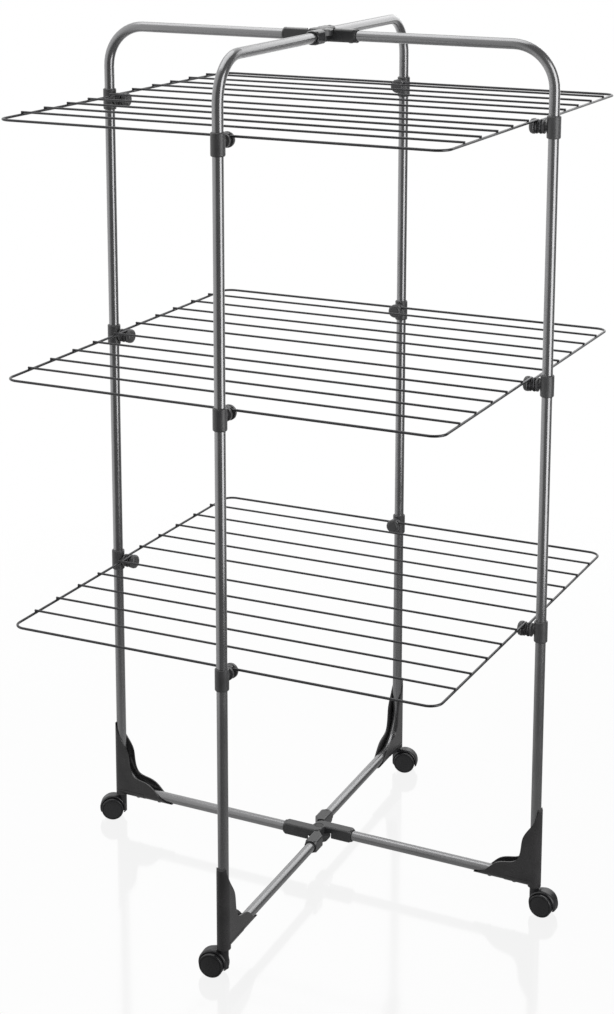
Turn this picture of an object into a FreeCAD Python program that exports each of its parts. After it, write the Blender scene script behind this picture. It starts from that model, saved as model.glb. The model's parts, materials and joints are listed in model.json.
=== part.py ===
"""Three-tier folding clothes drying rack on castors.

Two crossing frames of round steel tube turn about one vertical axis, where
plastic hubs at the top and the bottom join them. Frame A holds the left and
right legs, frame B the front and back legs. Each of the three levels has two
wire wings, which hang on spools on the left and right legs. The outer edge of
a wing lies in a jaw on the front or back leg, and swings down when the rack
is folded.

Axes: X from the left leg to the right leg, Y from the front leg to the back
leg, Z up. The origin is on the floor, on the fold axis. Sizes in millimetres.
"""
import FreeCAD, Part
import math
import os

# --- overall sizes ---------------------------------------------------------
leg_radius = 350.0          # fold axis to each leg's axis
top_tube_z = 1270.0         # axis of the top arms
open_angle = 93.6           # frame B from frame A when the rack stands open
top_level_drop = 110.0      # top arms' axis to the top wings' pivots
level_spacing = 362.0

# --- tubes -----------------------------------------------------------------
tube_radius = 7.5
tube_wall = 1.0
bend_radius = 60.0          # centre line of the corners
arm_offset = 9.0            # each arm passes this far beside the fold axis
fit_gap = 0.1               # tube in a collar, foot or hub, all round

# --- hubs ------------------------------------------------------------------
hub_reach = 53.0            # fold axis to the mouth of a socket
hub_wall = 1.7
socket_depth = 20.0
lap_radius = 20.0           # the hubs are half height inside this
lap_gap = 0.3               # between the two halves
lap_clearance = 0.5         # one hub's lap to the other hub's sleeves
core_wall = 6.0             # round the pivot
taper_reach = 28.0          # frame B's sleeves narrow on their folding side inside this
taper_slope = 0.76
mouth_round = 8.0           # corner radius of a sleeve at its mouth
sleeve_round = 3.0
mouth_ring = 3.0            # length of the raised ring round a socket's mouth
mouth_lip = 0.5
mouth_recess = 1.2          # depth and width of the step inside the mouth
pivot_radius = 4.0
pivot_clearance = 0.05
pivot_head_radius = 6.5
pivot_head_height = 1.6     # sunk in the hubs' outer faces
rivet_radius = 2.0
rivet_head_radius = 3.6
rivet_head_height = 1.3

# --- wire wings ------------------------------------------------------------
wire_radius = 1.8
rod_radius = 1.6
edge_wire_inset = 21.0      # leg radius to the edge wire
front_wire_inset = 24.0     # leg radius to a front wing's side wires
back_wire_inset = 18.0
wing_corner = 18.0
rod_overhang = 1.2          # beyond the side wire's axis
rod_places = (0.114, 0.296, 0.466, 0.646, 0.819)   # shares of wing_depth
eye_radius = 8.5            # centre line of the eye, and the wing's height over the pivot
eye_sweep = 285.0
eye_clearance = 0.05        # eye on its spool, radially

# --- collars, spools and jaws ----------------------------------------------
collar_wall = 2.2
collar_height = 31.5
collar_chamfer = 1.2
collar_round = 2.2
neck_radius = 6.0
flange_radius = 9.8
flange_gap = 2.2            # collar to flange
groove_width = 4.6
rib_radius = 9.2
rib_edge = 0.4
cap_radius = 10.7
cap_length = 7.4
cap_stub_radius = 3.0
cap_stub_length = 9.0
jaw_lift = 3.0              # jaw axis above the collar's centre
jaw_slot = 5.6
jaw_bridge_gap = 0.6        # edge wire to the bridge over it
jaw_bridge_half = 5.5

# --- feet ------------------------------------------------------------------
foot_wall = 2.2
foot_sole = 0.5             # the sole under the corner is this much thicker
foot_sole_reach = 45.0
foot_top = 112.0            # above the bottom arm's axis
foot_reach = 94.0           # inward from the leg's axis
foot_rivet_places = (31.0, 70.0)    # inward from the leg's axis

# --- castors ---------------------------------------------------------------
wheel_radius = 17.5
wheel_width = 11.3
wheel_shoulder = 1.6
wheel_cap_radius = 14.6
wheel_cap_rise = 1.1
axle_radius = 2.5
axle_clearance = 0.05
web_width = 5.0
wheel_gap = 0.5             # wheel to the web
castor_trail = 15.0
castor_top = 1.4            # the boss stands this far over the hood
hood_gap = 1.0
hood_wall = 2.4
hood_setback = 5.0          # wheel faces stand this far out of the hood
hood_low = 11.0             # the hood ends this far above the floor
hood_round = 4.0
boss_radius = 6.6
stem_radius = 4.0
stem_clearance = 0.05
stem_depth = 8.0            # in the castor's boss
stem_reach = 3.5            # above the bottom arm's axis
stem_flange_radius = 6.0
stem_flange_height = 0.7
castor_gap = 0.3            # under the stem's flange
castor_turn = {"right": -3.0, "left": 204.0, "back": 14.0, "front": 187.0}

# --- worked-out sizes ------------------------------------------------------
leg_reach = math.sqrt(leg_radius ** 2 - arm_offset ** 2)    # along the arm
arm_turn = -math.degrees(math.asin(arm_offset / leg_radius))
arm_angle = {"right": arm_turn, "left": arm_turn + 180.0,
             "back": arm_turn + open_angle, "front": arm_turn + open_angle + 180.0}
inboard_angle = {"left": 0.0, "right": 180.0, "front": 90.0, "back": 270.0}
tube_inner_radius = tube_radius - tube_wall
bore_radius = tube_radius + fit_gap
sleeve_half = bore_radius + hub_wall
socket_floor = hub_reach - socket_depth
wing_depth = leg_radius - edge_wire_inset       # pivot axis to the edge wire
front_wire_x = leg_radius - front_wire_inset
back_wire_x = leg_radius - back_wire_inset
core_radius = eye_radius - wire_radius - eye_clearance
collar_radius = bore_radius + collar_wall
flange_start = collar_radius + flange_gap
foot_outer = bore_radius + foot_wall
hood_radius = wheel_radius + hood_gap + hood_wall
castor_inner = web_width / 2 + wheel_gap
castor_outer = castor_inner + wheel_width
castor_height = wheel_radius + hood_radius + castor_top
foot_bottom = castor_height + castor_gap + stem_flange_height
bottom_tube_z = foot_bottom + foot_sole + foot_outer        # axis of the bottom arms
top_level = top_tube_z - top_level_drop
level_z = {"bottom": top_level - 2 * level_spacing, "middle": top_level - level_spacing,
           "top": top_level}                                # wing pivots

Z = FreeCAD.Vector(0, 0, 1)
nodes = {}


def vec(x, y, z):
    return FreeCAD.Vector(x, y, z)


def rod(start, end, radius):
    """Round bar between two points."""
    return Part.makeCylinder(radius, (end - start).Length, start, end - start)


def block(low, high):
    size = high - low
    return Part.makeBox(size.x, size.y, size.z, low)


def prism(points, low_z, high_z):
    """Upright prism on an outline of (x, y) points."""
    outline = Part.makePolygon([vec(x, y, low_z) for x, y in points + points[:1]])
    return Part.Face(outline).extrude(vec(0, 0, high_z - low_z))


def lathe(profile, origin, axis, across):
    """Turned body: profile holds (distance along the axis, radius) points."""
    along, out = axis.normalize(), across.normalize()
    points = [origin + along * d + out * r for d, r in profile]
    face = Part.Face(Part.makePolygon(points + points[:1]))
    return face.revolve(origin, along, 360)


def arc(centre, radius, start, end, first, second):
    """Arc from one angle to another in the plane of two unit vectors."""
    places = [centre + first * (radius * math.cos(math.radians(a)))
              + second * (radius * math.sin(math.radians(a)))
              for a in (start, (start + end) / 2, end)]
    return Part.Arc(*places).toShape()


def sweep(edges, radius, start, direction):
    """Round bar along joined edges."""
    section = Part.Wire([Part.makeCircle(radius, start, direction)])
    return Part.Wire(edges).makePipeShell([section], True, False)


def turned(shape, angle):
    """The shape turned about the fold axis."""
    copy = shape.copy()
    copy.rotate(vec(0, 0, 0), Z, angle)
    return copy


def leg_place(side):
    """Where a leg's axis meets the floor."""
    angle = math.radians(arm_angle[side])
    x = leg_reach * math.cos(angle) - arm_offset * math.sin(angle)
    y = leg_reach * math.sin(angle) + arm_offset * math.cos(angle)
    return vec(x, y, 0)


def on_leg(shape, side, z):
    """A shape made round Z with its working side along X, put on a leg."""
    copy = shape.copy()
    copy.rotate(vec(0, 0, 0), Z, inboard_angle[side])
    copy.translate(leg_place(side) + vec(0, 0, z))
    return copy


# --- tubes: made along X, at arm_offset in Y, then turned to their arm -----
def frame_bar(radius):
    """Bar along a leg and its two arms, from the top hub to the bottom hub."""
    y, inner_x = arm_offset, leg_reach - bend_radius
    low_centre = vec(inner_x, y, bottom_tube_z + bend_radius)
    high_centre = vec(inner_x, y, top_tube_z - bend_radius)
    bottom_end, bottom_bend = vec(socket_floor, y, bottom_tube_z), vec(inner_x, y, bottom_tube_z)
    top_end, top_bend = vec(socket_floor, y, top_tube_z), vec(inner_x, y, top_tube_z)
    leg_low, leg_high = vec(leg_reach, y, low_centre.z), vec(leg_reach, y, high_centre.z)
    outward = vec(1, 0, 0)
    edges = [Part.makeLine(bottom_end, bottom_bend),
             arc(low_centre, bend_radius, -90, 0, outward, Z),
             Part.makeLine(leg_low, leg_high),
             arc(high_centre, bend_radius, 0, 90, outward, Z),
             Part.makeLine(top_bend, top_end)]
    return sweep(edges, radius, bottom_end, outward)


def hub_rivet_point(z):
    """Where a hub rivet's head seats, under a sleeve."""
    return vec(socket_floor + socket_depth / 2, arm_offset, z - sleeve_half)


def foot_rivet_points():
    """Where the foot's rivets seat, under its sole and its arm."""
    return [vec(leg_reach - place, arm_offset, bottom_tube_z - foot_under(place))
            for place in foot_rivet_places]


def foot_under(place):
    """Depth of the foot's underside below the arm's axis."""
    return foot_outer + (foot_sole if place < foot_sole_reach else 0)


def tube_under(place):
    """Height of the tube's underside, from the arm's axis, beside the leg's axis."""
    if place > bend_radius:
        return -tube_radius
    reach = bend_radius + tube_radius
    return bend_radius - math.sqrt(reach ** 2 - (bend_radius - place) ** 2)


def foot_rivet_length(place):
    return foot_under(place) + tube_under(place) + 2 * tube_wall


def drill(point, length, radius):
    """Upright hole for a fastener whose head seats at a point."""
    return rod(point - Z, point + Z * length, radius + fit_gap)


def make_leg():
    tube = frame_bar(tube_radius).cut(frame_bar(tube_inner_radius))
    for z in (bottom_tube_z, top_tube_z):
        tube = tube.cut(drill(hub_rivet_point(z), tube_radius, rivet_radius))
    for point in foot_rivet_points():
        tube = tube.cut(drill(point, 2 * tube_radius, rivet_radius))
    return tube


# --- hubs: two crossing arms that lap at half height round the pivot -------
def rounded_section(x, high, radius):
    """Outline across X of a sleeve whose folding side reaches out to a height."""
    low, half = arm_offset - sleeve_half, sleeve_half
    centres = [vec(x, high - radius, half - radius), vec(x, low + radius, half - radius),
               vec(x, low + radius, radius - half), vec(x, high - radius, radius - half)]
    corners = [arc(centre, radius, 90 * i, 90 * i + 90, vec(0, 1, 0), Z)
               for i, centre in enumerate(centres)]
    edges = []
    for corner, following in zip(corners, corners[1:] + corners[:1]):
        start, end = corner.Vertexes[-1].Point, following.Vertexes[0].Point
        edges += [corner, Part.makeLine(start, end)]
    return Part.Wire(edges)


def hub_arm(tapered):
    """One sleeve of a hub, full height, from its heel beside the pivot to its mouth."""
    high = arm_offset + sleeve_half
    sections = [rounded_section(hub_reach - mouth_ring, high, sleeve_round),
                rounded_section(hub_reach, high, mouth_round)]
    if tapered:
        inner = lap_radius * 0.9
        narrow = high - taper_slope * (taper_reach - inner)
        sections = [rounded_section(inner, narrow, min(sleeve_round, narrow * 0.45)),
                    rounded_section(taper_reach, high, sleeve_round)] + sections
    else:
        sections = [rounded_section(0, high, sleeve_round)] + sections
    arm = Part.makeLoft(sections, True, True)
    axis = vec(hub_reach - mouth_ring, arm_offset, 0)
    ring = rod(axis, axis + vec(mouth_ring + mouth_lip, 0, 0), sleeve_half + mouth_lip)
    rims = [e for e in ring.Edges if e.Closed]
    return arm.fuse(ring.makeFillet(mouth_lip * 0.9, rims))


def hub_lap():
    """The part of a hub round the pivot, as wide as the sleeves, its edges rounded."""
    block = Part.Face(rounded_section(0, arm_offset + sleeve_half, sleeve_round))
    block = block.extrude(vec(2 * lap_radius, 0, 0))
    heel = Part.makeCylinder(sleeve_half, 2 * sleeve_half, vec(0, arm_offset, -sleeve_half))
    heel = heel.makeFillet(sleeve_round, [e for e in heel.Edges if e.Closed])
    half = block.fuse(heel)
    core = Part.makeCylinder(pivot_radius + core_wall, 2 * sleeve_half, vec(0, 0, -sleeve_half))
    core = core.makeFillet(sleeve_round / 2, [e for e in core.Edges if e.Closed])
    around = Part.makeCylinder(lap_radius, 2 * sleeve_half, vec(0, 0, -sleeve_half))
    return core.fuse([half, turned(half, 180)]).common(around)


def make_hub(upper, tapered):
    """Hub of one frame, centred on the pivot: the upper or the lower lap."""
    arm = hub_arm(tapered)
    reach = lap_radius + lap_clearance
    hub = hub_lap().fuse([arm, turned(arm, 180)]).removeSplitter()
    lap_low, lap_high = (lap_gap / 2, sleeve_half) if upper else (-sleeve_half, -lap_gap / 2)
    free = Part.makeCylinder(reach, 4 * sleeve_half, vec(0, 0, -2 * sleeve_half))
    kept = Part.makeCylinder(reach, lap_high - lap_low, vec(0, 0, lap_low))
    hub = hub.cut(free.cut(kept))
    mouth = hub_reach + mouth_lip
    socket = rod(vec(socket_floor - fit_gap, arm_offset, 0), vec(mouth + 1, arm_offset, 0),
                 bore_radius)
    step = rod(vec(mouth - mouth_recess, arm_offset, 0), vec(mouth + 1, arm_offset, 0),
               bore_radius + mouth_recess)
    for angle in (0, 180):
        hub = hub.cut([turned(socket, angle), turned(step, angle),
                       turned(drill(hub_rivet_point(0), tube_radius, rivet_radius), angle)])
    bore = Part.makeCylinder(pivot_radius + pivot_clearance, 4 * sleeve_half,
                             vec(0, 0, -2 * sleeve_half))
    depth = pivot_head_height + lap_gap
    recess = Part.makeCylinder(pivot_head_radius + lap_gap, depth + 1,
                               vec(0, 0, sleeve_half - depth if upper else -sleeve_half - 1))
    return hub.cut([bore, recess])


def make_pivot():
    """Rivet through both laps, with a flat head sunk in each."""
    body = Part.makeCylinder(pivot_radius, 2 * sleeve_half, vec(0, 0, -sleeve_half))
    heads = [lathe([(0, 0), (0, pivot_head_radius * 0.9), (pivot_head_height * 0.3,
                   pivot_head_radius), (pivot_head_height, pivot_head_radius),
                   (pivot_head_height, 0)], vec(0, 0, side * sleeve_half), -side * Z,
                   vec(1, 0, 0)) for side in (1, -1)]
    return body.fuse(heads).removeSplitter()


def make_rivet(point, length):
    """Rivet from below: a domed head under its point and a shank above."""
    head, radius = rivet_head_height, rivet_head_radius
    profile = [(-head, 0), (-head, radius * 0.6), (-head / 2, radius * 0.95), (0, radius),
               (0, rivet_radius), (length, rivet_radius), (length, 0)]
    return lathe(profile, point, vec(0, 0, 1), vec(1, 0, 0))


# --- feet: a channel round the corner of leg and bottom arm ----------------
def foot_side():
    """Face of the foot seen from the side, in the plane of its frame."""
    places = [(foot_outer * 0.65, foot_top), (-3, foot_top - 25), (-16, foot_top - 46),
              (-19.5, foot_top - 68), (-27, 27), (-44, 21.5), (-58, 16.5),
              (-72, 4), (-foot_reach, -7)]
    curve = Part.BSplineCurve()
    curve.interpolate([vec(x, 0, z) for x, z in places])
    below = -foot_outer - foot_sole
    back = foot_outer + foot_sole
    tip, end = vec(places[0][0], 0, foot_top), vec(-foot_reach, 0, places[-1][1])
    corners = [end, vec(-foot_reach, 0, below), vec(back, 0, below),
               vec(back, 0, foot_top - 4), tip]
    lines = [Part.makeLine(a, b) for a, b in zip(corners, corners[1:])]
    return Part.Face(Part.Wire([curve.toShape()] + lines))


def make_foot():
    """Foot with the corner at the origin, the arm towards -X and the leg up."""
    side = foot_side()
    side.translate(vec(0, -2 * foot_outer, 0))
    slab = side.extrude(vec(0, 4 * foot_outer, 0))
    corner, far = vec(0, 0, 0), 2 * foot_top
    leg = rod(vec(0, 0, -foot_outer), vec(0, 0, far), foot_outer)
    arm = rod(vec(-far, 0, 0), corner, foot_outer)
    cheeks = block(vec(-far, -foot_outer, 0), vec(0, foot_outer, far))
    body = leg.fuse([arm, cheeks]).common(slab)
    sole = rod(vec(-foot_sole_reach, 0, 0), vec(foot_outer, 0, 0), foot_outer + foot_sole)
    sole = sole.common(leg_mouth_side().fuse(rod(vec(0, 0, -far), vec(0, 0, far), foot_outer)))
    sole = sole.cut(block(vec(-far, -far, 0), vec(far, far, far)))
    boss_height = bottom_tube_z - foot_bottom
    boss = Part.makeCylinder(foot_outer, boss_height, vec(0, 0, -boss_height))
    body = body.fuse([sole, boss])
    body.translate(vec(leg_reach, arm_offset, bottom_tube_z))
    body = body.cut(frame_bar(bore_radius).fuse(inner_room()))
    axis = vec(leg_reach, arm_offset, 0)
    stem_bore = rod(axis, axis + Z * (bottom_tube_z + stem_reach), stem_radius + stem_clearance)
    body = body.cut(stem_bore)
    for place, point in zip(foot_rivet_places, foot_rivet_points()):
        body = body.cut(drill(point, foot_rivet_length(place), rivet_radius))
    return body.removeSplitter()


def leg_mouth_side():
    """Everything inward of the leg's axis, as wide as the foot and its sole."""
    far, half = 2 * foot_top, foot_outer + foot_sole
    return block(vec(-far, -half, -far), vec(0, half, far))


def inner_room():
    """Room between the cheeks, inward of the tube's centre line."""
    far = 2 * foot_top
    start = vec(leg_reach - far, arm_offset, bottom_tube_z)
    low = vec(leg_reach - bend_radius, arm_offset, bottom_tube_z)
    centre = low + Z * bend_radius
    high = vec(leg_reach, arm_offset, bottom_tube_z + far)
    bend = arc(centre, bend_radius, -90, 0, vec(1, 0, 0), Z)
    edges = [Part.makeLine(start, low), bend, Part.makeLine(centre + vec(bend_radius, 0, 0), high),
             Part.makeLine(high, start + Z * far), Part.makeLine(start + Z * far, start)]
    face = Part.Face(Part.Wire(edges))
    face.translate(vec(0, -bore_radius, 0))
    return face.extrude(vec(0, 2 * bore_radius, 0))


# --- collars: made round Z, with the spool or jaw towards +X ---------------
def collar_ring():
    half = collar_height / 2
    ring = Part.makeCylinder(collar_radius, collar_height, vec(0, 0, -half))
    rims = [e for e in ring.Edges if e.Closed]
    top = [e for e in rims if e.BoundBox.ZMin > 0]
    ring = ring.makeChamfer(collar_chamfer, top)
    bottom = [e for e in ring.Edges if e.Closed and e.BoundBox.ZMax < 0.01 - half]
    return ring.makeFillet(collar_round, bottom)


def leg_room():
    return Part.makeCylinder(bore_radius, 2 * collar_height, vec(0, 0, -collar_height))


def groove_places():
    """Leg axis to the middle of the back and the front wing's groove."""
    return back_wire_inset, front_wire_inset


def make_spool():
    """Collar of a side leg, with a groove for each wing's eye."""
    back_groove, front_groove = groove_places()
    half = groove_width / 2
    rib_start, rib_end = back_groove + half, front_groove - half
    flange_end = back_groove - half
    profile = [(0, 0), (0, neck_radius), (flange_start, neck_radius),
               (flange_start + 0.6, flange_radius), (flange_end - 0.8, flange_radius),
               (flange_end, flange_radius - 0.8),
               (flange_end, core_radius), (rib_start, core_radius),
               (rib_start, rib_radius - rib_edge), (rib_start + rib_edge, rib_radius),
               (rib_end - rib_edge, rib_radius), (rib_end, rib_radius - rib_edge),
               (rib_end, core_radius), (front_groove + half, core_radius),
               (front_groove + half, 0)]
    spool = lathe(profile, vec(0, 0, 0), vec(1, 0, 0), Z)
    body = collar_ring().fuse(spool).cut(leg_room())
    stub_start = front_groove + half - cap_stub_length - fit_gap
    return body.cut(rod(vec(stub_start, 0, 0), vec(2 * leg_radius, 0, 0), cap_stub_radius))


def button(start, end, radius, centre_z):
    """Rounded disc along X."""
    length = end - start
    profile = [(0, 0), (0, radius - 0.6), (0.6, radius), (length * 0.45, radius),
               (length * 0.75, radius * 0.93), (length * 0.93, radius * 0.78),
               (length, radius * 0.6), (length, 0)]
    return lathe(profile, vec(start, 0, centre_z), vec(1, 0, 0), Z)


def make_spool_cap():
    start = groove_places()[1] + groove_width / 2
    cap = button(start, start + cap_length, cap_radius, 0)
    stub = rod(vec(start - cap_stub_length, 0, 0), vec(start, 0, 0), cap_stub_radius)
    return cap.fuse(stub)


def make_jaw(side):
    """Collar of a front or back leg: two discs, open downwards round the wire."""
    slot_middle = abs(leg_place(side).y) - wing_depth
    slot_start, slot_end = slot_middle - jaw_slot / 2, slot_middle + jaw_slot / 2
    neck = lathe([(0, 0), (0, neck_radius), (flange_start, neck_radius),
                  (flange_start + 0.6, flange_radius), (slot_start - 0.8, flange_radius),
                  (slot_start, flange_radius - 0.8), (slot_start, 0)],
                 vec(0, 0, jaw_lift), vec(1, 0, 0), Z)
    cap = button(slot_end, slot_end + cap_length, cap_radius, jaw_lift)
    bridge_low = eye_radius + wire_radius + jaw_bridge_gap
    bridge = block(vec(slot_start - 1, -jaw_bridge_half, bridge_low),
                   vec(slot_end + 1, jaw_bridge_half, 2 * flange_radius))
    bridge = bridge.common(rod(vec(0, 0, jaw_lift), vec(2 * slot_end, 0, jaw_lift),
                               cap_radius - 0.6))
    return collar_ring().fuse([neck, cap, bridge]).cut(leg_room()).removeSplitter()


# --- wire wings: pivot axis along X through the origin ---------------------
def wing_wire(sign, wire_x):
    """Bent frame wire; sign is -1 for a front wing and 1 for a back wing."""
    outward = vec(0, sign, 0)
    side_end = wing_depth - wing_corner
    edges = []
    for end in (-1, 1):
        pivot = vec(end * wire_x, 0, 0)
        top = pivot + Z * eye_radius
        corner = pivot + outward * side_end + Z * eye_radius
        turn_centre = corner - vec(end * wing_corner, 0, 0)
        eye = arc(pivot, eye_radius, 90, 90 + eye_sweep, outward, Z)
        side = Part.makeLine(top, corner)
        bend = arc(turn_centre, wing_corner, 0, 90, vec(end, 0, 0), outward)
        edges.append([eye, side, bend])
    left, right = edges
    inner_x = wire_x - wing_corner
    edge = Part.makeLine(vec(-inner_x, sign * wing_depth, eye_radius),
                         vec(inner_x, sign * wing_depth, eye_radius))
    path = left + [edge] + right[::-1]
    bars = [sweep([e], wire_radius, e.valueAt(e.FirstParameter), e.tangentAt(e.FirstParameter))
            for e in path]
    return bars[0].fuse(bars[1:]).removeSplitter()


def wing_rods(sign, wire_x):
    """Rods welded on top of a wing's frame wire."""
    reach = wire_x + rod_overhang
    height = eye_radius + wire_radius + rod_radius
    rods = [rod(vec(-reach, sign * share * wing_depth, height),
                vec(reach, sign * share * wing_depth, height), rod_radius)
            for share in rod_places]
    return Part.makeCompound(rods)


# --- castors: swivel axis on Z, wheels trailing towards +X -----------------
def axle_point(y):
    return vec(castor_trail, y, wheel_radius)


def axle_disc(radius, half_width):
    return rod(axle_point(-half_width), axle_point(half_width), radius)


def make_castor_housing():
    """Hood over both wheels, web between them, and the boss for the stem."""
    hood = axle_disc(hood_radius, castor_outer - hood_setback)
    rims = [e for e in hood.Edges if e.Closed]
    hood = hood.makeFillet(hood_round, rims)
    lower = block(vec(-3 * hood_radius, -castor_outer, -hood_radius),
                  vec(3 * hood_radius, castor_outer, hood_low))
    boss = Part.makeCylinder(boss_radius, castor_height - hood_low, vec(0, 0, hood_low))
    wheel_room = axle_disc(wheel_radius + hood_gap, castor_outer)
    shell = hood.cut(lower).fuse(boss).cut(wheel_room)
    web = axle_disc(wheel_radius * 0.78, web_width / 2)
    spine = axle_disc(wheel_radius + hood_gap + hood_wall / 2, web_width / 2).cut(lower)
    body = shell.fuse([web, spine])
    stem_low = castor_height - stem_depth
    body = body.cut(Part.makeCylinder(stem_radius + stem_clearance, stem_depth + 1,
                                      vec(0, 0, stem_low)))
    return body.cut(axle_disc(axle_radius, castor_outer)).removeSplitter()


def make_castor_axle():
    return axle_disc(axle_radius, castor_outer - wheel_cap_rise - 1.5)


def make_wheel(sign):
    """Wheel with rounded shoulders and a smooth raised hub cap outside."""
    width, shoulder = wheel_width, wheel_shoulder
    profile = [(0, wheel_radius * 0.45), (0, wheel_radius - shoulder)]
    for step in range(1, 6):
        angle = math.radians(90 * step / 5)
        profile.append((shoulder * (1 - math.cos(angle)),
                        wheel_radius - shoulder + shoulder * math.sin(angle)))
    for step in range(1, 6):
        angle = math.radians(90 * step / 5)
        profile.append((width - shoulder + shoulder * math.sin(angle),
                        wheel_radius - shoulder + shoulder * math.cos(angle)))
    rim = wheel_cap_radius + 0.8
    profile += [(width, rim), (width - 0.6, wheel_cap_radius + 0.4),
                (width - 0.6, wheel_cap_radius), (width, wheel_cap_radius - 0.3),
                (width + wheel_cap_rise * 0.5, wheel_cap_radius * 0.75),
                (width + wheel_cap_rise * 0.85, wheel_cap_radius * 0.5),
                (width + wheel_cap_rise, wheel_cap_radius * 0.2),
                (width + wheel_cap_rise, 0), (width - 1.2, 0)]
    profile += [(width - 1.2, axle_radius + axle_clearance), (0, axle_radius + axle_clearance)]
    start = axle_point(sign * castor_inner)
    return lathe(profile, start, vec(0, sign, 0), Z)


def make_stem():
    """Steel stem from the castor up into the foot, with its thrust flange."""
    low = castor_height - stem_depth + castor_gap
    stem = Part.makeCylinder(stem_radius, bottom_tube_z + stem_reach - low, vec(0, 0, low))
    flange = Part.makeCylinder(stem_flange_radius, stem_flange_height,
                               vec(0, 0, castor_height + castor_gap))
    return stem.fuse(flange).removeSplitter()


def under_leg(shape, side):
    copy = shape.copy()
    copy.rotate(vec(0, 0, 0), Z, castor_turn[side])
    copy.translate(leg_place(side))
    return copy


# --- assembly --------------------------------------------------------------
frames = {"a": ("left", "right"), "b": ("front", "back")}
leg, foot = make_leg(), make_foot()
foot_rivets = [make_rivet(point, foot_rivet_length(place))
               for place, point in zip(foot_rivet_places, foot_rivet_points())]
hub_rivets = [make_rivet(hub_rivet_point(z), hub_wall + 2 * tube_wall)
              for z in (bottom_tube_z, top_tube_z)]
housing, axle, stem = make_castor_housing(), make_castor_axle(), make_stem()

for frame, sides in frames.items():
    for side in sides:
        nodes["leg_" + side] = turned(leg, arm_angle[side])
        nodes["foot_" + side] = turned(foot, arm_angle[side])
        nodes["castor_housing_" + side] = under_leg(housing, side)
        nodes["castor_axle_" + side] = under_leg(axle, side)
        nodes["castor_wheel_" + side + "_1"] = under_leg(make_wheel(-1), side)
        nodes["castor_wheel_" + side + "_2"] = under_leg(make_wheel(1), side)
    for name, z in (("bottom_hub_", bottom_tube_z), ("top_hub_", top_tube_z)):
        upper = (frame == "b") == (z == top_tube_z)
        hub = turned(make_hub(upper, tapered=frame == "b"), arm_angle[sides[1]])
        hub.translate(vec(0, 0, z))
        nodes[name + frame] = hub
    angles = [arm_angle[side] for side in sides]
    nodes["hub_rivets_" + frame] = Part.makeCompound(
        [turned(rivet, angle) for rivet in hub_rivets for angle in angles])
    nodes["foot_rivets_" + frame] = Part.makeCompound(
        [turned(rivet, angle) for rivet in foot_rivets for angle in angles])
    nodes["castor_stems_" + frame] = Part.makeCompound(
        [under_leg(stem, side) for side in sides])

pivots = [make_pivot(), make_pivot()]
for pivot, z in zip(pivots, (bottom_tube_z, top_tube_z)):
    pivot.translate(vec(0, 0, z))
nodes["hub_pivots"] = Part.makeCompound(pivots)

spool, spool_cap = make_spool(), make_spool_cap()
for level, z in level_z.items():
    for side in frames["a"]:
        nodes["spool_{}_{}".format(side, level)] = on_leg(spool, side, z)
    for side in frames["b"]:
        nodes["jaw_{}_{}".format(side, level)] = on_leg(make_jaw(side), side, z)
    for name, sign, wire_x in (("front", -1, front_wire_x), ("back", 1, back_wire_x)):
        for piece, make in (("wire", wing_wire), ("rods", wing_rods)):
            shape = make(sign, wire_x)
            shape.translate(vec(0, 0, z))
            nodes["wing_{}_{}_{}".format(piece, name, level)] = shape
nodes["spool_caps"] = Part.makeCompound(
    [on_leg(spool_cap, side, z) for side in frames["a"] for z in level_z.values()])

os.makedirs("parts", exist_ok=True)
for name, shape in nodes.items():
    shape.exportStep("parts/" + name + ".step")
    solids = shape.Solids
    print(name, len(solids), round(shape.Volume), shape.isValid())
print(len(nodes), "nodes")
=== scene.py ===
"""Looks, stage and camera for the folding clothes drying rack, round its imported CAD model."""

import json
import math
import random

import bmesh
import bpy
from mathutils import Matrix, Vector

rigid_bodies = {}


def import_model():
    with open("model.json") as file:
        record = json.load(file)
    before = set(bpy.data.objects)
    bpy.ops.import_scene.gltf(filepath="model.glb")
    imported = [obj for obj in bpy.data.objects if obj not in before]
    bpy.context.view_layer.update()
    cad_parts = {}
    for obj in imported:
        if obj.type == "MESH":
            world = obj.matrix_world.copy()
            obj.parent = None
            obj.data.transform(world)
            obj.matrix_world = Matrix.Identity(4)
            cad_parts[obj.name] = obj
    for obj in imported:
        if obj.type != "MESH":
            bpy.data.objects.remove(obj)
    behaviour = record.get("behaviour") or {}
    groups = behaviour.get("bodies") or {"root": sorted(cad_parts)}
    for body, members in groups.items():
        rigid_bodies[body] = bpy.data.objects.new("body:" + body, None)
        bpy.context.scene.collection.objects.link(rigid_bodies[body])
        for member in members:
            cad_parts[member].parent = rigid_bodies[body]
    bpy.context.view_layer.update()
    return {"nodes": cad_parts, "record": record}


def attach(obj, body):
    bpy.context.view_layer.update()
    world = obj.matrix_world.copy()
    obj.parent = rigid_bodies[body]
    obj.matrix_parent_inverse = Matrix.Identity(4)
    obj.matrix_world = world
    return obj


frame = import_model()
nodes = frame["nodes"]

# --- named values: metres, linear colours, noise scales per metre ------------
# lacquered steels: darkest and lightest colour, roughness
steels = {
    "tube_steel": ((0.3, 0.3, 0.305), (0.36, 0.36, 0.365), 0.2),
    "wire_steel": ((0.055, 0.055, 0.058), (0.085, 0.085, 0.088), 0.3),
    "zinc_steel": ((0.05, 0.05, 0.05), (0.08, 0.08, 0.08), 0.35),
}
lacquer_metallic = 0.75
flake_scale, steel_cloud_scale = 2600.0, 14.0
cloud_share, flake_share = 0.6, 0.4             # of the lacquer's mottling
flake_height, flake_strength = 0.000004, 0.05

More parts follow.
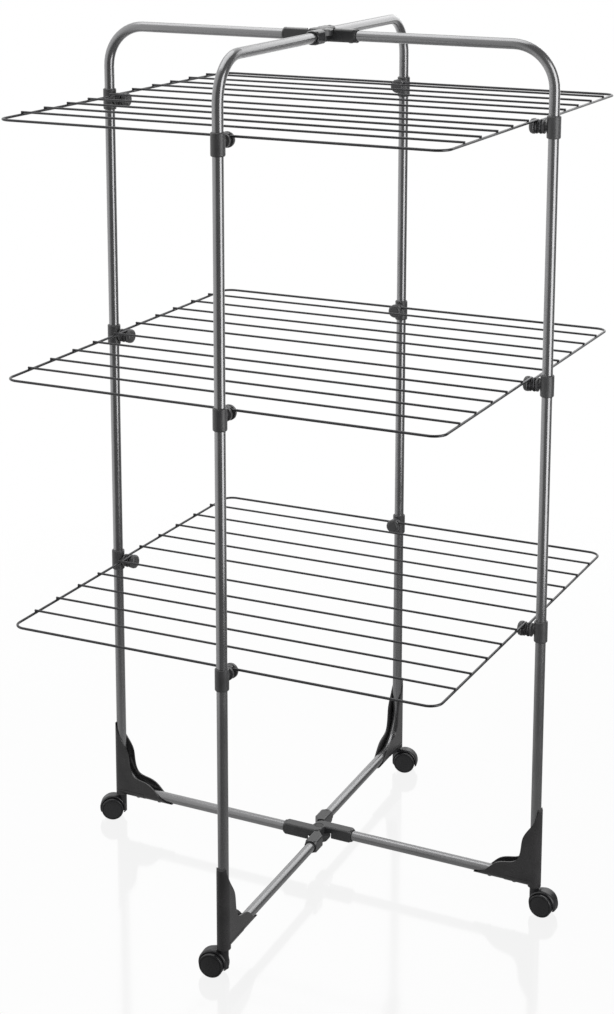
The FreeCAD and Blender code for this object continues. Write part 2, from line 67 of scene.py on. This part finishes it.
# moulded plastics: colour, roughness
plastics = {
    "hub_plastic": ((0.054, 0.054, 0.056), 0.22),
    "collar_plastic": ((0.086, 0.086, 0.088), 0.36),
    "foot_plastic": ((0.05, 0.0485, 0.05), 0.24),
    "castor_plastic": ((0.024, 0.024, 0.026), 0.3),
    "wheel_plastic": ((0.026, 0.026, 0.028), 0.26),
}
plastic_specular = 0.6
grain_scale, plastic_cloud_scale = 1100.0, 40.0
plastic_darkest, plastic_lightest = 0.82, 1.2   # times the plastic's colour
grain_height, grain_strength = 0.00005, 0.6

rod_end = 0.0012                        # rods reach this far beyond the side wires' axes
weld_half = (0.0016, 0.0019, 0.0009)    # along the rod, along the wire, upwards
weld_spread = (0.9, 1.15)               # a bead's size, times weld_half
weld_ripple = 0.09                      # unevenness of a bead, as a share of its size
weld_waves = (2300, 1700)               # ripples along X and Y, radians per metre
same_corner = 2e-6                      # mesh corners this close are one

right = Vector((0.907, 0.42, 0))        # to the right, seen from the front
front = Vector((0.42, -0.907, 0))       # towards the viewer
bright_side = -right * 0.72 - front * 0.69
bright_steps = [(0.42, 0.1), (0.6, 0.75), (0.8, 1.0)]   # from the dark side to the bright one

floor_size = 14.0                       # half the floor's width
fade_unit = 3.0                         # distance from the rack that counts as 1 below
floor_edge = [(0.22, 0.0), (0.6, 1.0)]          # where the floor fades out
painted_glow_near = [(0.0, 0.9), (0.3, 0.1)]           # painted reflection: the floor glows brighter under the rack
floor_gloss, floor_gloss_roughness = 0.09, 0.09
floor_seen_share = 0.97                 # white to the camera
floor_reflected_share, floor_reflected_strength = 0.92, 0.42    # painted reflection: the floor's glow in glossy surfaces
world_strength, world_gloss_extra = 0.6, 0.4    # extra for what glossy surfaces mirror

# --- materials ---------------------------------------------------------------


def new_material(name, colour, metallic, roughness, specular=0.5):
    """A material with a Principled shader, and the shader itself."""
    material = bpy.data.materials.new(name)
    material.use_nodes = True
    shader = material.node_tree.nodes["Principled BSDF"]
    shader.inputs["Base Color"].default_value = (*colour, 1)
    shader.inputs["Metallic"].default_value = metallic
    shader.inputs["Roughness"].default_value = roughness
    shader.inputs["Specular IOR Level"].default_value = specular
    return material, shader


def maths(tree, operation, *given):
    """Maths on sockets or numbers; returns the result's socket."""
    made = tree.nodes.new("ShaderNodeMath")
    made.operation = operation
    for place, value in enumerate(given):
        if isinstance(value, (int, float)):
            made.inputs[place].default_value = value
        else:
            tree.links.new(value, made.inputs[place])
    return made.outputs[0]


def noise(tree, scale, detail):
    """Noise over the object's own space."""
    where = tree.nodes.new("ShaderNodeTexCoord")
    texture = tree.nodes.new("ShaderNodeTexNoise")
    texture.inputs["Scale"].default_value = scale
    texture.inputs["Detail"].default_value = detail
    tree.links.new(where.outputs["Object"], texture.inputs["Vector"])
    return texture.outputs["Fac"]


def ramp(tree, value, stops):
    """Colour ramp over a value; stops are (place, grey or colour)."""
    made = tree.nodes.new("ShaderNodeValToRGB")
    elements = made.color_ramp.elements
    while len(elements) < len(stops):
        elements.new(0.5)
    for element, (place, colour) in zip(elements, stops):
        element.position = place
        rgb = (colour,) * 3 if isinstance(colour, float) else colour
        element.color = (*rgb, 1)
    tree.links.new(value, made.inputs["Fac"])
    return made.outputs["Color"]


def bump(tree, shader, texture, height, strength):
    """Relief of a given height on a shader's surface."""
    made = tree.nodes.new("ShaderNodeBump")
    made.inputs["Distance"].default_value = height
    made.inputs["Strength"].default_value = strength
    tree.links.new(texture, made.inputs["Height"])
    tree.links.new(made.outputs["Normal"], shader.inputs["Normal"])


def painted_steel(name, dark, light, roughness):
    """Metallic lacquer on steel: fine flake, soft mottling and uneven gloss."""
    material, shader = new_material(name, light, lacquer_metallic, roughness)
    tree = material.node_tree
    flake = noise(tree, flake_scale, 2.0)
    cloud = noise(tree, steel_cloud_scale, 4.0)
    mottling = maths(tree, "MULTIPLY_ADD", cloud, cloud_share,
                     maths(tree, "MULTIPLY", flake, flake_share))
    tree.links.new(ramp(tree, mottling, [(0.3, dark), (0.7, light)]),
                   shader.inputs["Base Color"])
    tree.links.new(ramp(tree, cloud, [(0.3, roughness - 0.04), (0.75, roughness + 0.06)]),
                   shader.inputs["Roughness"])
    bump(tree, shader, flake, flake_height, flake_strength)
    return material


def moulded_plastic(name, colour, roughness):
    """Moulded plastic: fine spark-eroded grain, slight mottling and uneven gloss."""
    material, shader = new_material(name, colour, 0.0, roughness, plastic_specular)
    tree = material.node_tree
    grain = noise(tree, grain_scale, 2.0)
    cloud = noise(tree, plastic_cloud_scale, 3.0)
    dark = tuple(c * plastic_darkest for c in colour)
    light = tuple(c * plastic_lightest for c in colour)
    tree.links.new(ramp(tree, cloud, [(0.3, dark), (0.7, light)]),
                   shader.inputs["Base Color"])
    tree.links.new(ramp(tree, cloud, [(0.3, roughness - 0.05), (0.7, roughness + 0.07)]),
                   shader.inputs["Roughness"])
    bump(tree, shader, grain, grain_height, grain_strength)
    return material


materials = {name: painted_steel(name, *look) for name, look in steels.items()}
materials.update((name, moulded_plastic(name, *look)) for name, look in plastics.items())

for node in nodes.values():
    for place in node.material_slots:
        place.material = materials[place.material.name.split(".")[0]]

# --- welds -------------------------------------------------------------------


def weld_beads(name, places, seed):
    """Small uneven beads where rods lie on a wing's frame wire."""
    draw = random.Random(seed)
    mesh = bmesh.new()
    for place in places:
        size = [half * draw.uniform(*weld_spread) for half in weld_half]
        turn = Matrix.Rotation(draw.uniform(0, math.pi), 4, "Z")
        stretch = Matrix.Diagonal((*size, 1))
        bead = bmesh.ops.create_icosphere(mesh, subdivisions=3, radius=1.0,
                                          matrix=Matrix.Translation(place) @ stretch @ turn)
        for vertex in bead["verts"]:
            out = vertex.co - Vector(place)
            phase = weld_waves[0] * vertex.co.x + weld_waves[1] * vertex.co.y
            vertex.co += out * weld_ripple * math.sin(phase)
    made = bpy.data.meshes.new(name)
    mesh.to_mesh(made)
    mesh.free()
    made.shade_smooth()
    piece = bpy.data.objects.new(name, made)
    bpy.context.scene.collection.objects.link(piece)
    return piece


def shells(node):
    """The lowest and highest corner of each loose part of a node's mesh."""
    mesh = bmesh.new()
    mesh.from_mesh(node.data)
    bmesh.ops.remove_doubles(mesh, verts=mesh.verts, dist=same_corner)
    left, found = set(mesh.verts), []
    while left:
        group, waiting = set(), [left.pop()]
        while waiting:
            vertex = waiting.pop()
            group.add(vertex)
            for edge in vertex.link_edges:
                other = edge.other_vert(vertex)
                if other in left:
                    left.remove(other)
                    waiting.append(other)
        found.append(([min(v.co[i] for v in group) for i in range(3)],
                      [max(v.co[i] for v in group) for i in range(3)]))
    mesh.free()
    return sorted(found)


body_of = {node: body for body, row in frame["record"]["behaviour"]["bodies"].items()
           for node in row}
rod_nodes = sorted(name for name in nodes if name.startswith("wing_rods_"))
for seed, name in enumerate(rod_nodes):
    places = []
    for low, high in shells(nodes[name]):
        for x, inward in ((low[0], 1), (high[0], -1)):
            places.append((x + inward * rod_end, (low[1] + high[1]) / 2, low[2]))
    piece = weld_beads(name.replace("rods", "welds"), places, seed)
    piece.data.materials.append(materials["wire_steel"])
    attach(piece, body_of[name])

# --- stage -------------------------------------------------------------------


def mixed(tree, share, first, second):
    """Mix of two shaders; share is a number or a socket."""
    made = tree.nodes.new("ShaderNodeMixShader")
    if isinstance(share, float):
        made.inputs[0].default_value = share
    else:
        tree.links.new(share, made.inputs[0])
    tree.links.new(first, made.inputs[1])
    tree.links.new(second, made.inputs[2])
    return made.outputs[0]


def vector_maths(tree, operation, given, output="Vector"):
    """A vector node on one socket, and its result's socket."""
    made = tree.nodes.new("ShaderNodeVectorMath")
    made.operation = operation
    tree.links.new(given, made.inputs[0])
    return made, made.outputs[output]


def away_from_key(tree, place):
    """How far a place or direction lies on the bright side of the studio, 0 to 1."""
    toward, reach = vector_maths(tree, "DOT_PRODUCT", place, "Value")
    toward.inputs[1].default_value = bright_side
    return ramp(tree, maths(tree, "MULTIPLY_ADD", reach, 0.5, 0.5), bright_steps)


floor_mesh = bpy.data.meshes.new("floor")
floor_mesh.from_pydata([(x * floor_size, y * floor_size, 0)
                        for x, y in ((-1, -1), (1, -1), (1, 1), (-1, 1))],
                       [], [(0, 1, 2, 3)])
floor = bpy.data.objects.new("floor", floor_mesh)
bpy.context.scene.collection.objects.link(floor)
floor_material, shader = new_material("floor", (0.9, 0.9, 0.9), 0.0, 0.6, 0.0)
floor.data.materials.append(floor_material)
tree = floor_material.node_tree
rays = tree.nodes.new("ShaderNodeLightPath").outputs
where = tree.nodes.new("ShaderNodeTexCoord").outputs["Object"]
distance = maths(tree, "DIVIDE", vector_maths(tree, "LENGTH", where, "Value")[1], fade_unit)

# white to the camera
glow = tree.nodes.new("ShaderNodeEmission")
glow.inputs["Color"].default_value = (1, 1, 1, 1)
lit = mixed(tree, maths(tree, "MULTIPLY", rays["Is Camera Ray"], floor_seen_share),
            shader.outputs[0], glow.outputs[0])

# painted reflection: in glossy surfaces the floor mostly shows a glow instead of its lit self,
# brighter under the rack and on the studio's bright side
painted_reflection = tree.nodes.new("ShaderNodeEmission")
course = vector_maths(tree, "NORMALIZE", where)[1]
tree.links.new(maths(tree, "MAXIMUM", away_from_key(tree, course),
                     ramp(tree, distance, painted_glow_near)),
               painted_reflection.inputs["Color"])
painted_reflection.inputs["Strength"].default_value = floor_reflected_strength
lit = mixed(tree, maths(tree, "MULTIPLY", rays["Is Glossy Ray"], floor_reflected_share),
            lit, painted_reflection.outputs[0])

# a faint gloss, and no floor far from the rack
gloss = tree.nodes.new("ShaderNodeBsdfGlossy")
gloss.inputs["Color"].default_value = (1, 1, 1, 1)
gloss.inputs["Roughness"].default_value = floor_gloss_roughness
lit = mixed(tree, floor_gloss, lit, gloss.outputs[0])
clear = tree.nodes.new("ShaderNodeBsdfTransparent")
tree.links.new(mixed(tree, ramp(tree, distance, floor_edge), lit, clear.outputs[0]),
               tree.nodes["Material Output"].inputs["Surface"])

world = bpy.data.worlds.new("studio")
bpy.context.scene.world = world
world.use_nodes = True
tree = world.node_tree
rays = tree.nodes.new("ShaderNodeLightPath").outputs
where = tree.nodes.new("ShaderNodeTexCoord").outputs["Generated"]
background = tree.nodes["Background"]
tree.links.new(away_from_key(tree, where), background.inputs["Color"])
tree.links.new(maths(tree, "MULTIPLY_ADD", rays["Is Glossy Ray"], world_gloss_extra,
                     world_strength),
               background.inputs["Strength"])
seen = tree.nodes.new("ShaderNodeBackground")
seen.inputs["Color"].default_value = (1, 1, 1, 1)
either = maths(tree, "MAXIMUM", rays["Is Camera Ray"], rays["Is Transmission Ray"])
tree.links.new(mixed(tree, either, background.outputs[0], seen.outputs[0]),
               tree.nodes["World Output"].inputs["Surface"])

# --- lamps -------------------------------------------------------------------


def softbox(name, place, target, width, height, radiance):
    """Area lamp of an even radiance, facing its target."""
    light = bpy.data.lights.new(name, "AREA")
    light.shape = "RECTANGLE"
    light.size, light.size_y = width, height
    light.energy = radiance * math.pi * width * height
    lamp = bpy.data.objects.new(name, light)
    bpy.context.scene.collection.objects.link(lamp)
    lamp.location = place
    lamp.visible_camera = False
    facing = Vector(target) - Vector(place)
    lamp.rotation_euler = facing.to_track_quat("-Z", "Y").to_euler()
    return lamp


key = softbox("key", place=(1.5, -0.4, 1.2), target=(0, 0, 1.2),
              width=1.0, height=2.25, radiance=2.6)
softbox("overhead", place=(-0.4, 0.1, 2.5), target=(0, 0, 0),
        width=1.6, height=1.6, radiance=1.3)
rim = softbox("rim", place=(0.5, 2.4, 1.75), target=(0.1, 0, 1.4),
              width=2.2, height=1.7, radiance=1.2)
pieces = bpy.data.collections.new("pieces")
for thing in bpy.context.scene.objects:
    if thing.type == "MESH" and thing != floor:
        pieces.objects.link(thing)
for lamp in (key, rim):                 # these light the rack but not the floor
    lamp.light_linking.receiver_collection = pieces

# --- camera ------------------------------------------------------------------
lens = bpy.data.cameras.new("camera")
lens.sensor_width = 36.0
lens.lens = 72.867
lens.shift_x, lens.shift_y = -0.0325, -0.2278
lens.clip_end = 100.0
camera = bpy.data.objects.new("camera", lens)
bpy.context.scene.collection.objects.link(camera)
camera.location = (1.25574, -2.6267, 1.53089)
camera.rotation_euler = [math.radians(a) for a in (78.1801, -0.2598, 25.0496)]
bpy.context.scene.camera = camera

bpy.context.scene.view_settings.view_transform = "Standard"
